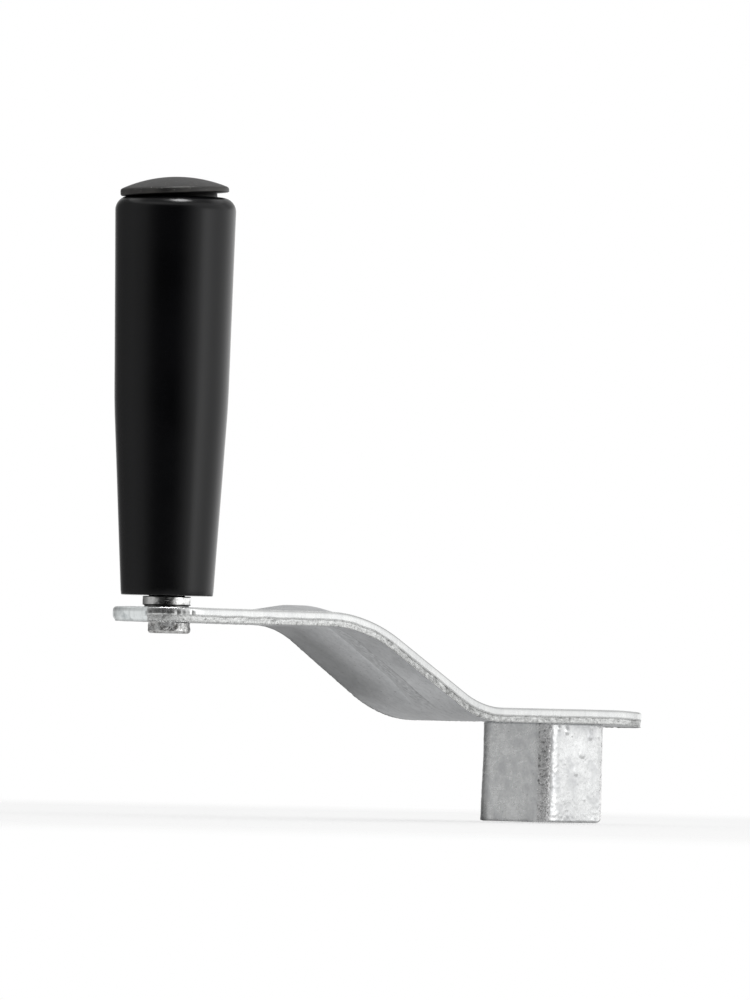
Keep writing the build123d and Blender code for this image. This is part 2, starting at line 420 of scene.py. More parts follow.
def plan_grid(inset, tip_inset, shares):
    """Rows of plan points [station][across] that fill the arm's outline."""
    stations = [k / STATIONS for k in range(STATIONS + 1)]
    far = placed(outline_side(inset, tip_inset), stations)
    near = [Vector((p.x, -p.y)) for p in placed(outline_side(inset, 0.0), stations)]
    left = placed(outline_left(inset, tip_inset), shares)
    right = placed(outline_right(inset), shares)
    reach = 22.0 * MM
    grid = []
    for station in range(STATIONS + 1):
        low, high = near[station], far[station]
        from_left = 1 - smooth((low.x - near[0].x) / reach)
        from_right = 1 - smooth((near[-1].x - low.x) / reach)
        row = []
        for step, share in enumerate(shares):
            place = low.lerp(high, share)
            place += (left[step] - near[0].lerp(far[0], share)) * from_left
            place += (right[step] - near[-1].lerp(far[-1], share)) * from_right
            row.append(place)
        grid.append(row)
    return grid


def round_holes(grid, holes):
    """Cells left out for the holes; the points round each are moved onto its circle."""
    gone = set()
    for centre_x, radius in holes:
        inside = set()
        for station in range(STATIONS):
            for step in range(ACROSS):
                middle = (grid[station][step] + grid[station + 1][step + 1]) / 2
                if hypot(middle.x - centre_x, middle.y) < radius:
                    inside.add((station, step))
        rim = {}
        for station, step in inside:
            for corner in ((0, 0), (1, 0), (0, 1), (1, 1)):
                key = (station + corner[0], step + corner[1])
                rim[key] = rim.get(key, 0) + 1
        for (station, step), cells in rim.items():
            point = grid[station][step]
            if cells < 4:
                scale = radius / hypot(point.x - centre_x, point.y)
                grid[station][step] = Vector((centre_x + (point.x - centre_x) * scale, point.y * scale))
        gone |= inside
    return gone


def arm_piece(materials):
    """The bent strip with its rib, rolled upper edge, sheared side and ragged lower edge."""
    holes = [(0.0, SPIGOT_RADIUS), (PIN_X, TAIL_SPIGOT_RADIUS)]
    shares = across_shares()
    top_grid = plan_grid(ROLL_INSET, ROLL_TIP_INSET, shares)
    bottom_grid = plan_grid(BURR_INSET, BURR_TIP_INSET, shares)
    gone = round_holes(top_grid, holes)
    round_holes(bottom_grid, holes)
    crest = heights(rib_line())
    crest_below = heights(lowered(rib_line(), ARM_THICKNESS))
    rib_end_x = rib_line()[-1][0]
    profiles = []
    for share in shares:
        line = arm_line(NEAR_UPPER_BEND + share * (FAR_UPPER_BEND - NEAR_UPPER_BEND),
                        NEAR_LOWER_BEND + share * (FAR_LOWER_BEND - NEAR_LOWER_BEND))
        profiles.append((heights(line), heights(lowered(line, ARM_THICKNESS))))

    def height(point, step, side, rib, *rims):
        surface = profiles[step][side](point.x)
        if RIB_FOOT_X < point.x < rib_end_x and abs(point.y) < 2 * RIB_HALF_WIDTH:
            surface += rib_rise(rib(point.x), surface, point.y, *rims)
        return surface

    points = []
    tones = []
    index = []
    for side, grid, rib, rims, tone in (
            (0, top_grid, crest, (1.2 * MM, 0.20 * MM, 0.20 * MM), lambda x, y: 1.0),
            (1, bottom_grid, crest_below, (0.3 * MM, 0.03 * MM, 0.60 * MM), underside_painted_light_and_scuffs)):
        table = []
        for row in grid:
            table.append(range(len(points), len(points) + len(row)))
            for step, point in enumerate(row):
                wave = 0.03 * MM * rough(point.x, point.y, 0.0, 90)
                beyond = max(0.0, (point.x - DROOP_X) / (ARM_RIGHT_X - DROOP_X))
                wave -= END_DROOP * beyond ** 1.4
                points.append((point.x, point.y, height(point, step, side, rib, *rims) + wave))
                tones.append(tone(point.x, point.y))
        index.append(table)
    top, bottom = index
    faces = []
    kinds = []
    for station in range(STATIONS):
        for step in range(ACROSS):
            if (station, step) in gone:
                continue
            a, b = (station, step), (station + 1, step)
            c, d = (station + 1, step + 1), (station, step + 1)
            faces.append(tuple(top[i][j] for i, j in (a, b, c, d)))
            faces.append(tuple(bottom[i][j] for i, j in (d, c, b, a)))
            kinds += [FACE, FACE]
            for start, end, beside in ((a, b, (station, step - 1)), (b, c, (station + 1, step)),
                                       (c, d, (station, step + 1)), (d, a, (station - 1, step))):
                if beside in gone:
                    faces.append((top[start[0]][start[1]], bottom[start[0]][start[1]],
                                  bottom[end[0]][end[1]], top[end[0]][end[1]]))
                    kinds.append(SHEARED)

    loop = [(station, 0) for station in range(STATIONS)]
    loop += [(STATIONS, step) for step in range(ACROSS)]
    loop += [(station, ACROSS) for station in range(STATIONS, 0, -1)]
    loop += [(0, step) for step in range(ACROSS, 0, -1)]
    edge_rows(loop, top, bottom, points, tones, faces, kinds)
    return add_mesh("arm_strip", points, faces, materials, "crank",
                    kinds, tones)


def underside_painted_light_and_scuffs(x, y):
    """Painted light and shade round the hollow of the rib on the underside of the slope, with a strip
    of real scuffs from the press.
    """
    on_slope = smooth((x + 114 * MM) / (14 * MM)) * (1 - smooth((x + 66 * MM) / (16 * MM)))
    # painted shade: a dark line along the rib's near rim
    tone = -0.30 * exp(-((y + 7.3 * MM) / (0.35 * MM)) ** 2)
    if y < -7.6 * MM:
        # painted light: the flat by the near edge gets lighter further down the slope
        tone += 0.34 * smooth((x + 92 * MM) / (26 * MM)) - 0.10
    elif y < 0.0:
        # scuffs from the press, which are real marks
        tone += 0.04 + 0.45 * rough(x, y, 0.0, 1000) * smooth((-y - 0.8 * MM) / (1.5 * MM))
    else:
        # painted highlight along the valley, and painted shade towards the far edge
        tone += 0.34 * exp(-y / (1.8 * MM)) - 0.44 * smooth((y - 2.0 * MM) / (10.0 * MM))
    return 1 + on_slope * tone


def tip_shade(x, y):
    """1 on the +Y shoulder of the round end, where painted shade darkens the tumbled edge towards its
    outline.
    """
    around = degrees(atan2(y, x - PIN_X))
    return exp(-((around - 145) / 14) ** 2)


def darker_edge(x, y):
    """1 where the cut edge is darker and more ragged: down the slope, and at the square end's near
    corner.
    """
    slope = smooth((x + 100 * MM) / (22 * MM)) * (1 - 0.6 * smooth((x + 50 * MM) / (16 * MM)))
    slope *= 1 - smooth((x + 10 * MM) / (10 * MM))
    return max(slope, smooth((x - 10 * MM) / (6 * MM)) if y < 0 else 0.0)


def edge_rows(loop, top, bottom, points, tones, faces, kinds):
    """The cut edge of the strip between its two surfaces, row by row."""
    count = len(loop)
    full_reach, full_drop, _ = ROLL_ROWS[-1]
    length = 0.0
    columns = []
    tips = []
    for step, (station, across) in enumerate(loop):
        before, high, after = [Vector(points[top[i][j]]) for i, j in
                               (loop[step - 1], loop[step], loop[(step + 1) % count])]
        along = (after - before).normalized()
        out = Vector((along.y, -along.x, 0.0)).normalized()
        length += (high - before).length
        depth = high.z - points[bottom[station][across]][2]
        tip = tip_share(high.x, high.y)
        tips.append(tip)
        darker = darker_edge(high.x, high.y)
        marks = (1 - smooth((high.x - PIN_X + 4.5 * MM) / (2.5 * MM))) * (1 - tip)
        column = [top[station][across]]

        def grain(seed, scale, drop=0.0):
            return rough(length, drop, seed, scale)

        # painted shade on the round end's +Y shoulder, varied at random
        stain_and_shade = 1 - 0.35 * tip * tip_shade(high.x, high.y) * (0.8 + grain(37.0, 700))

        def add(offset, drop, tone):
            place = high + out * offset
            column.append(len(points))
            points.append((place.x, place.y, high.z - drop))
            tones.append(tone * stain_and_shade)

        face = ROLL_INSET + ROLL_TIP_INSET * tip
        stretch = 1 + 1.1 * tip
        # painted shade along the roll from the rows' tones; near the pin its lower rows are lightened
        # as a painted highlight
        for reach, drop, shade in ROLL_ROWS:
            add(face * reach / full_reach, drop * MM * stretch, shade + 0.20 * marks * (drop > 0.3))

        roll_end = full_drop * MM * stretch
        share = SHEARED_SHARE - 0.06 * marks + 0.05 * grain(3.0, 180) + 0.03 * grain(7.0, 900)
        clean_end = depth * share
        line = 1.3 * grain(11.0, 900) + 0.8 * grain(13.0, 2100)
        for k in range(1, SHEARED_ROWS + 1):
            drop = roll_end + (clean_end - roll_end) * k / SHEARED_ROWS
            scratch = (0.006 + 0.300 * marks * min(k, 3) / 3) * line
            # near the pin the striations are real marks; the darkening towards the middle of the clean
            # band is painted shade
            shade = marks * (0.9 * line - 0.42 * sin(pi * k / SHEARED_ROWS))
            add(face + scratch * MM, drop, max(0.15, 1.0 + shade) * (1 - 0.10 * darker))

        broken_end = depth - 0.15 * MM
        for k in range(1, TORN_ROWS + 1):
            part = k / TORN_ROWS
            drop = clean_end + (broken_end - clean_end) * part
            chip = 0.13 * grain(0.0, 1100, drop) + 0.12 * grain(5.0, 520, drop)
            lean = -0.10 - 0.14 * part
            ledge = -0.10 * exp(-((part - 0.1) / 0.1) ** 2)
            pulled = BURR_TIP_INSET * tip * smooth((part - 0.3) / 0.7)
            dark = 0.40 * exp(-((part - 0.12) / 0.08) ** 2) * (0.7 + grain(19.0, 420)) \
                + 0.30 * smooth((part - 0.85) / 0.15)
            dark += 0.10 + 0.22 * darker + (0.12 + 0.30 * darker) * grain(31.0, 800, drop)
            add(face + (lean + ledge + chip) * (1 - 0.9 * tip) * MM - pulled, drop,
                1.0 - dark * (1 - tip) - 0.25 * tip * smooth((part - 0.7) / 0.3))

        ragged = (0.5 + 0.5 * grain(17.0, 700) + 0.3 * grain(23.0, 2500)) * (1 + 1.9 * darker)
        add(face - 0.16 * MM - BURR_TIP_INSET * tip,
            depth + 0.12 * MM * ragged * (1 - tip), 1.0 - 0.45 * (1 - tip))
        column.append(bottom[station][across])
        columns.append(column)

    clean_rows = len(ROLL_ROWS) + SHEARED_ROWS
    for step in range(count):
        here, after = columns[step], columns[(step + 1) % count]
        for row in range(len(here) - 1):
            faces.append((here[row], here[row + 1], after[row + 1], after[row]))
            kinds.append(TUMBLED if tips[step] > 0.5 else SHEARED if row < clean_rows else TORN)


# --- hub ---

HUB_POINTS = 288                 # points round each ring of the hub
HUB_ROWS = 84
BORE_ROWS = 126
BLOCK, THREAD, SCALE = range(3)  # the hub's materials, in order
THREAD_PITCH = 2.0 * MM
THREAD_DEPTH = 1.08 * MM


def rounded_square(half, corner, count):
    """Points and outward directions round a rounded square, evenly spaced."""
    flat = 2 * (half - corner)
    bend = corner * pi / 2
    total = 4 * (flat + bend)
    result = []
    for step in range(count):
        at = total * step / count
        side, rest = divmod(at, flat + bend)
        if rest < flat:
            local = Vector((half, -flat / 2 + rest))
            out = Vector((1.0, 0.0))
        else:
            angle = (rest - flat) / corner
            out = Vector((cos(angle), sin(angle)))
            local = Vector((half - corner, half - corner)) + out * corner
        spin = Matrix.Rotation(side * pi / 2, 2)
        result.append((spin @ local, spin @ out))
    return result


HUB_DRIPS = (                    # (x, z, half width, length, height) on the -Y side, in mm
    (1.7, 19.6, 1.1, 3.2, 0.30), (-0.9, 14.4, 1.0, 2.6, 0.26), (-5.2, 25.9, 0.8, 1.8, 0.40),
    (5.1, 24.8, 1.1, 2.4, 0.30), (-8.6, 26.6, 0.7, 1.2, 0.25), (8.7, 24.6, 0.5, 1.2, 0.15),
    (-5.7, 5.8, 0.45, 3.8, 0.16), (3.0, 6.8, 0.5, 0.6, 0.16), (-4.0, 2.2, 0.7, 0.8, 0.20),
    (6.8, 0.8, 0.6, 0.6, 0.18), (-2.9, 24.9, 0.5, 1.4, 0.16), (-8.9, 10.2, 0.4, 0.6, 0.12),
)


def hub_relief(x, y, z):
    """How far the galvanised skin of the hub stands out of its true sides."""
    corner = smooth((min(abs(x), abs(y)) - 8.5 * MM) / (2.0 * MM))
    patch = smooth(0.5 + 1.6 * rough(x, y, z, 130))
    skin = 0.040 * rough(x, y, z * 0.5, 260) + 0.016 * rough(x, y, z * 0.7, 700)
    skin += (0.020 + 0.030 * patch) * rough(x, y, z, 1300)
    skin += 0.060 * corner * rough(x, y, z, 1100)
    foot = 1 - smooth(z / (3.5 * MM))
    skin += 0.050 * foot * rough(x, y, z, 1200)
    if x < 0 < y:
        skin += 0.45 * corner * (1 - smooth(z / (20.0 * MM)))
    if y < -HUB_HALF + 1.0 * MM:
        for drip_x, drip_z, half_width, length, height in HUB_DRIPS:
            aside = (x - drip_x * MM) / (half_width * MM)
            above = z - drip_z * MM
            run_out = 1 - smooth(above / (length * MM))
            away = hypot(aside, min(above, 0.0) / (half_width * MM))
            skin += 0.55 * height * run_out * smooth((1.4 - away) / 0.8)
    return (skin - 0.05) * MM


def hub_tone(x, y, z):
    """Darker on the hub's -X/+Y corner, most at the foot, and unevenly along its lower edge all round;
    painted shade on the upper part of the rounded corners, which dims their highlight, and painted
    light at their foot.
    """
    if hypot(x, y) < SPIGOT_RADIUS + 1 * MM:
        return 1.0
    foot = 1 - smooth(z / (9.0 * MM))
    corner = smooth((min(-x, y) - 7.6 * MM) / (2.4 * MM)) if x < 0 < y else 0.0
    edge = (1 - smooth(z / (1.2 * MM))) * (0.5 + rough(x, y, z, 500))
    # painted shade over the rounded corners' upper part, and painted light at their foot
    strip = smooth((min(abs(x), abs(y)) - 8.0 * MM) / (1.0 * MM))
    strip *= (1 - corner) * (0.12 * smooth((z - 9 * MM) / (9 * MM)) - 0.15 * foot)
    return 1 - corner * (0.26 + 0.40 * foot) - 0.3 * max(edge, 0.0) - strip


def hub_piece(materials):
    """The square block with a galvanised skin, its threaded bore and its spigot."""
    outline = rounded_square(HUB_HALF, HUB_CORNER, HUB_POINTS)
    angles = [atan2(point.y, point.x) for point, out in outline]
    rings = []
    kinds = []

    def circle(radius, z, kind):
        rings.append([(radius * cos(a), radius * sin(a), z) for a in angles])
        kinds.append(kind)

    def square(inset, z, relief):
        ring = []
        for point, out in outline:
            lift = hub_relief(point.x, point.y, z) if relief else 0.0
            place = point + out * (lift - inset)
            nick = smooth(1 - hypot(place.x - HUB_HALF, place.y + HUB_HALF) / (5.0 * MM))
            up = 1.3 * MM * nick * (1 - smooth(z / (3.0 * MM)))
            ring.append((place.x, place.y, z + up))
        rings.append(ring)
        kinds.append(BLOCK)

    lower_flare, upper_flare = 1.1 * MM, 1.0 * MM
    circle(BORE_RADIUS + lower_flare, 0.0, BLOCK)
    for k in range(1, 6):
        ring = []
        for (point, out), angle in zip(outline, angles):
            inner = Vector((cos(angle), sin(angle))) * (BORE_RADIUS + lower_flare)
            place = inner.lerp(point - out * HUB_CHAMFER, k / 6)
            ring.append((place.x, place.y, 0.0))
        rings.append(ring)
        kinds.append(BLOCK)
    square(HUB_CHAMFER, 0.0, False)
    square(0.12 * MM, 0.15 * MM, True)
    side_height = HUB_HEIGHT - 0.3 * MM - HUB_CHAMFER
    for k in range(HUB_ROWS):
        square(0.0, HUB_CHAMFER + side_height * k / (HUB_ROWS - 1), True)
    square(0.3 * MM, HUB_HEIGHT, False)
    circle(SPIGOT_RADIUS, HUB_HEIGHT, BLOCK)
    for inset, drop in ((0.0, 0.25), (0.25, 0.0), (0.9, 0.0), (1.15, 0.2), (1.4, 0.0)):
        circle(SPIGOT_RADIUS - inset * MM, LOWER_TOP_Z - drop * MM, BLOCK)
    circle(BORE_RADIUS + upper_flare, LOWER_TOP_Z, BLOCK)
    top = LOWER_TOP_Z - upper_flare
    for k in range(BORE_ROWS + 1):
        z = top * (1 - k / BORE_ROWS)
        ring = []
        for angle in angles:
            phase = (z / THREAD_PITCH - angle / (2 * pi)) % 1.0
            groove = max(0.0, 1 - abs(phase - 0.5) / 0.44)
            near_end = smooth(min(z, top - z) / (1.2 * MM))
            radius = BORE_RADIUS + THREAD_DEPTH * min(groove * 1.15, 1.0) * near_end
            radius += upper_flare * (1 - smooth((top - z) / (0.6 * MM)))
            radius += lower_flare * (1 - smooth(z / (0.9 * MM)))
            ring.append((radius * cos(angle), radius * sin(angle), z))
        rings.append(ring)
        kinds.append(THREAD)
    points, faces = loft(rings, closed=True)
    face_kinds = []
    for ring, kind in zip(rings, kinds):
        for (x, y, z), (point, out) in zip(ring, outline):
            round_corner = degrees(atan2(out.y, out.x)) % 90
            ragged = 5 * rough(point.x, point.y, z, 900)
            scaly = kind == BLOCK and 9 < round_corner + ragged < 53 and 0 < z < HUB_HEIGHT
            face_kinds.append(SCALE if scaly else kind)
    tones = [hub_tone(x, y, z) for x, y, z in points]
    return add_mesh("hub_block", points, faces, materials, "crank",
                    face_kinds, tones)


# --- grip pin ---

PIN_POINTS = 144
TURNED, HAMMERED = range(2)      # the pin's materials, in order
TAIL_RADIUS = 5.8 * MM           # of the hammered head
TAIL_LEAN_HEADING = radians(-49)  # the head sits a little off centre this way


def pin_piece(materials):
    """The turned pin: a ringed collar on the arm, a plain journal and a hammered tail."""
    tail, flat = TAIL_Z, TAIL_TOP_Z
    collar = UPPER_TOP_Z
    collar_top = collar + SHOULDER_HEIGHT
    groove = GRIP_FOOT_Z + GRIP_LENGTH - POCKET_DEPTH + WASHER_AND_PLAY
    groove_top = groove + 1.1 * MM
    end = groove_top + 2.0 * MM
    head, shoulder, journal = TAIL_RADIUS, SHOULDER_RADIUS, JOURNAL_RADIUS
    neck, groove_floor = shoulder - 0.5 * MM, journal - 0.2 * MM
    fine = 0.2 * MM
    low = trace(
        (0.0, tail), (head - 0.7 * MM, tail, 0.35 * MM), (head - 0.2 * MM, tail + 0.2 * MM, fine),
        (head, tail + 0.7 * MM, fine), (head, flat, fine))
    high = trace(
        low[-1], (TAIL_SPIGOT_RADIUS, flat, 0.5 * MM), (TAIL_SPIGOT_RADIUS, collar, 1.0 * MM),
        (neck, collar, 0.5 * MM), (neck, collar + 0.5 * MM, fine),
        (shoulder - 0.15 * MM, collar + 0.55 * MM, fine), (shoulder, collar + 0.7 * MM, fine),
        (shoulder, collar_top - 0.2 * MM, 0.1 * MM), (shoulder - 0.2 * MM, collar_top, fine),
        (journal, collar_top, 0.5 * MM), (journal, groove, 4.0 * MM), (groove_floor, groove, fine),
        (groove_floor, groove_top, 0.5 * MM), (journal, groove_top, fine),
        (journal, end - 0.8 * MM, 0.4 * MM), (journal - 0.8 * MM, end, 0.4 * MM),
        (0.0, end, 1.0 * MM))

    def hammered(angle, z):
        x, y = cos(angle) * head, sin(angle) * head
        if z < flat - 0.05 * MM:
            dents = 0.30 * rough(x, y, z, 380) + 0.14 * rough(x, y, z, 1000)
            aside = 0.75 * cos(angle - TAIL_LEAN_HEADING)
            return (dents + aside - 0.05) * MM
        if collar + 0.7 * MM < z < collar_top - 0.2 * MM:
            return 0.05 * MM * rough(x, y, z, 420) + 0.015 * MM * rough(x, y, z, 1500)
        return 0.0

    rings = lathe((low + high[1:])[1:-1], PIN_POINTS, hammered)
    points, faces = loft(rings)
    hammered_bands = len(low) - 1
    kinds = [HAMMERED] * PIN_POINTS * hammered_bands
    kinds += [TURNED] * PIN_POINTS * (len(rings) - 1 - hammered_bands)
    close_ends(points, faces, PIN_POINTS, tail, end)
    kinds += [HAMMERED] * PIN_POINTS + [TURNED] * PIN_POINTS
    # painted shade in the collar's neck, just above the arm
    tones = [0.30 if collar - 0.1 * MM < z < collar + 0.75 * MM else 1.0 for x, y, z in points]
    points = [(x + PIN_X, y, z) for x, y, z in points]
    return add_mesh("grip_pin_turned", points, faces, materials, "crank", kinds,
                    tones)


# --- grip and cap ---

GRIP_POINTS = 160
GRIP_STEP = 0.8 * MM
GRIP_FOOT_FLAT = 12.4 * MM       # radius where the foot starts to round up
GRIP_FOOT_ROUND = 0.3 * MM
CAP_POINTS = 128
CAP_DOME_ROWS = 44
CAP_DOME_EDGE = 14.3 * MM        # radius where the dome starts
CAP_WEDGE = 0.018                # the rim is this much thinner towards the raised side


def grip_radius():
    """The grip's outer radius as a function of the height above its foot."""
    return heights([(-1.0 * MM, GRIP_FOOT_RADIUS, 0.0), (*GRIP_WAIST, GRIP_BLEND),
                    (GRIP_LENGTH, GRIP_TOP_RADIUS, 0.0)])


def grip_piece(materials):
    """The moulded barrel with its bore and the pocket under the cap."""
    radius = grip_radius()
    floor = GRIP_LENGTH - POCKET_DEPTH
    side_top = GRIP_LENGTH - GRIP_SHOULDER
    side_foot = 0.5 * MM
    profile = trace((GRIP_BORE, 0.0), (GRIP_FOOT_FLAT, 0.0, 1.0 * MM))
    profile += arc_points((GRIP_FOOT_FLAT, GRIP_FOOT_ROUND), GRIP_FOOT_ROUND, radians(-70), 0.0, 4)
    count = ceil(side_top / GRIP_STEP)
    for k in range(1, count + 1):
        z = side_foot + (side_top - side_foot) * k / count
        profile.append((radius(z), z))
    centre = (radius(side_top) - GRIP_SHOULDER, side_top)
    profile += arc_points(centre, GRIP_SHOULDER, radians(6), radians(90), 20)
    profile += trace(
        profile[-1], (POCKET_RADIUS + 0.2 * MM, GRIP_LENGTH, 0.3 * MM),
        (POCKET_RADIUS, GRIP_LENGTH - 0.2 * MM, 0.3 * MM), (POCKET_RADIUS, floor, 2.0 * MM),
        (GRIP_BORE, floor, 1.5 * MM), (GRIP_BORE, 0.0, 4.0 * MM))[1:-1]

    def sink(angle, z):
        if z < 1.0 * MM or z > GRIP_LENGTH - 0.1 * MM:
            return 0.0
        return 0.03 * MM * rough(cos(angle) * 0.015, sin(angle) * 0.015, z, 45)

    points, faces = loft(lathe(profile, GRIP_POINTS, sink), closed=True)
    points = [(x + PIN_X, y, z + GRIP_FOOT_Z) for x, y, z in points]
    return add_mesh("grip_barrel", points, faces, materials, "handle")


def cap_piece(materials):
    """The domed plug on its rim, a little raised on one side."""
    rim, skirt_in = CAP_RADIUS, CAP_SKIRT_INSIDE
    crown = CAP_RIM + (CAP_DOME - sqrt(CAP_DOME ** 2 - rim ** 2))
    profile = trace(
        (0.0, 0.0), (skirt_in, 0.0, 1.5 * MM), (skirt_in, -CAP_SKIRT_LENGTH, 1.5 * MM),
        (CAP_SKIRT, -CAP_SKIRT_LENGTH, 0.9 * MM), (CAP_SKIRT, 0.0, 1.5 * MM),
        (rim - 0.3 * MM, 0.0, 0.8 * MM), (rim, 0.3 * MM, 0.15 * MM),
        (rim, CAP_RIM - 0.6 * MM, 0.2 * MM))[1:]
    profile += arc_points((rim - 0.8 * MM, CAP_RIM - 0.55 * MM), 0.8 * MM, radians(12),
                          radians(58), 5)
    for k in range(CAP_DOME_ROWS):
        radius = CAP_DOME_EDGE * (1 - k / CAP_DOME_ROWS)
        profile.append((radius, crown - CAP_DOME + sqrt(CAP_DOME ** 2 - radius ** 2)))

    def uneven(angle, z):
        return 0.05 * MM * rough(cos(angle), sin(angle), z * 100, 1.4)

    points, faces = loft(lathe(profile, CAP_POINTS, uneven))
    close_ends(points, faces, CAP_POINTS, 0.0, crown)
    rest_radius = GRIP_TOP_RADIUS - GRIP_SHOULDER - CAP_SHIFT
    lift = rest_radius * tan(CAP_TILT) + GRIP_SHOULDER * (1 / cos(CAP_TILT) - 1) + SEAT_CLEARANCE
    place = Matrix.Translation((PIN_X, 0.0, GRIP_FOOT_Z + GRIP_LENGTH + lift))
    place @= Matrix.Rotation(CAP_HEADING, 4, "Z") @ Matrix.Translation((-CAP_SHIFT, 0.0, 0.0))
    place @= Matrix.Rotation(-CAP_TILT, 4, "Y")
    # painted shade: the cap's underside and skirt are painted nearly black, for the shade in the gap
    # under the cap
    tones = [0.05 if z < 0.1 * MM else 1.0 for x, y, z in points]
    points = [tuple(place @ Vector((x, y, z - CAP_WEDGE * x * smooth(z / (0.8 * MM)))))
              for x, y, z in points]
    return add_mesh("cap_dome", points, faces, materials, "handle", tones=tones)


# --- materials ---

def add_node(tree, kind, inputs, **settings):
    """A new node with its settings, and with inputs that are values or other outputs."""
    node = tree.nodes.new(kind)
    for name, value in settings.items():
        setattr(node, name, value)
    for name, value in inputs.items():
        if isinstance(value, bpy.types.NodeSocket):
            tree.links.new(value, node.inputs[name])
        else:
            node.inputs[name].default_value = value
    return node


class Surface:
    """A procedural material, built up step by step in metres of the object's own space."""

    def __init__(self, name):
        self.material = bpy.data.materials.new(name)
        self.material.use_nodes = True
        self.tree = self.material.node_tree
        self.place = add_node(self.tree, "ShaderNodeTexCoord", {}).outputs["Object"]
        self.normal = None

    def noise(self, scale, detail=3.0, roughness=0.55, at=None):
        inputs = {"Scale": scale, "Detail": detail, "Roughness": roughness,
                  "Vector": at or self.place}
        return add_node(self.tree, "ShaderNodeTexNoise", inputs).outputs["Fac"]

    def streaks(self, x, y, z, detail=3.0, roughness=0.6):
        """Noise with its own scale along each axis."""
        inputs = {"Scale": (x, y, z), "Vector": self.place}
        spread = add_node(self.tree, "ShaderNodeMapping", inputs)
        return self.noise(1.0, detail, roughness, spread.outputs["Vector"])

    def cells(self, scale):
        inputs = {"Scale": scale, "Vector": self.place}
        return add_node(self.tree, "ShaderNodeTexVoronoi", inputs).outputs["Distance"]

    def ramp(self, value, *stops):
        """A value or colour that changes with another value, from (position, level) stops."""
        node = add_node(self.tree, "ShaderNodeValToRGB", {"Fac": value})
        elements = node.color_ramp.elements
        while len(elements) < len(stops):
            elements.new(0.5)
        for element, (position, level) in zip(elements, stops):
            element.position = position
            colour = level if isinstance(level, tuple) else (level, level, level)
            element.color = (*colour, 1.0)
        return node.outputs["Color"]

    def mix(self, amount, other, kind="MIX"):
        """Mixes that amount of another colour into the surface's own."""
        other = (*other, 1.0) if isinstance(other, tuple) else other
        node = add_node(self.tree, "ShaderNodeMix", {"Factor": amount, 6: self.colour, 7: other},
                        data_type="RGBA", blend_type=kind)
        self.colour = node.outputs[2]

    def paint(self, value, *stops):
        """Starts the colour as a ramp of a value."""
        self.colour = self.ramp(value, *stops)

    def dim(self, amount, value, *stops):
        """Multiplies that amount of a ramp into the colour."""
        self.mix(amount, self.ramp(value, *stops), "MULTIPLY")

    def tone(self):
        """Multiplies in the piece's own tone, which its mesh carries point by point."""
        tone = add_node(self.tree, "ShaderNodeAttribute", {}, attribute_name="tone")
        self.mix(1.0, tone.outputs["Fac"], "MULTIPLY")

    def polish(self, value, *stops):
        """Sets the roughness to a ramp of a value."""
        self.roughness = self.ramp(value, *stops)

    def bump(self, height, distance, strength):
        """Adds bumps on top of those already there."""
        inputs = {"Height": height, "Distance": distance, "Strength": strength}
        if self.normal:
            inputs["Normal"] = self.normal
        self.normal = add_node(self.tree, "ShaderNodeBump", inputs).outputs["Normal"]

    def finish(self, metallic=0.0, level=0.5):
        shader = self.tree.nodes["Principled BSDF"]
        for name, output in (("Base Color", self.colour), ("Roughness", self.roughness),
                             ("Normal", self.normal)):
            self.tree.links.new(output, shader.inputs[name])
        shader.inputs["Metallic"].default_value = metallic
        shader.inputs["Specular IOR Level"].default_value = level
        return self.material


def zinc_face():
    """Zinc plated strip: pale, faintly streaked along its length, scuffed in places."""
    skin = Surface("zinc_face")
    streaks = skin.streaks(60, 900, 900, 4.0)
    clouds = skin.noise(70, 5.0, 0.65)
    specks = skin.noise(1600, 2.0)
    skin.paint(clouds, (0.30, (0.60, 0.61, 0.62)), (0.50, (0.68, 0.69, 0.70)),
               (0.72, (0.74, 0.75, 0.76)))
    skin.dim(0.35, streaks, (0.35, 0.62), (0.65, 0.98))
    skin.dim(0.8, specks, (0.26, 0.45), (0.36, 1.0))
    skin.tone()
    skin.polish(clouds, (0.30, 0.44), (0.70, 0.30))
    skin.bump(streaks, 0.03 * MM, 0.5)
    skin.bump(specks, 0.02 * MM, 0.5)
    return skin.finish(metallic=1.0)


def zinc_sheared():
    """The clean-cut part of the strip's edge, faintly marked square to the surface."""
    skin = Surface("zinc_sheared")
    marks = skin.streaks(1300, 1300, 90)
    skin.paint(skin.noise(240), (0.30, (0.84, 0.85, 0.85)), (0.70, (0.93, 0.94, 0.93)))
    skin.dim(0.15, marks, (0.30, 0.55), (0.60, 1.0))
    skin.tone()
    skin.polish(marks, (0.30, 0.34), (0.70, 0.24))
    skin.bump(marks, 0.03 * MM, 0.4)
    return skin.finish(metallic=0.95)


def zinc_torn():
    """The broken half of the strip's edge: grainy, pitted and plated over."""
    skin = Surface("zinc_torn")
    grain = skin.noise(1500, 4.0, 0.7)
    skin.paint(grain, (0.28, (0.48, 0.49, 0.48)), (0.50, (0.86, 0.87, 0.86)),
               (0.70, (0.95, 0.96, 0.95)))
    skin.dim(0.7, skin.noise(800, 2.0), (0.30, 0.35), (0.42, 1.0))
    skin.tone()
    skin.polish(grain, (0.30, 0.42), (0.70, 0.24))
    skin.bump(grain, 0.20 * MM, 0.9)
    return skin.finish(metallic=0.75)


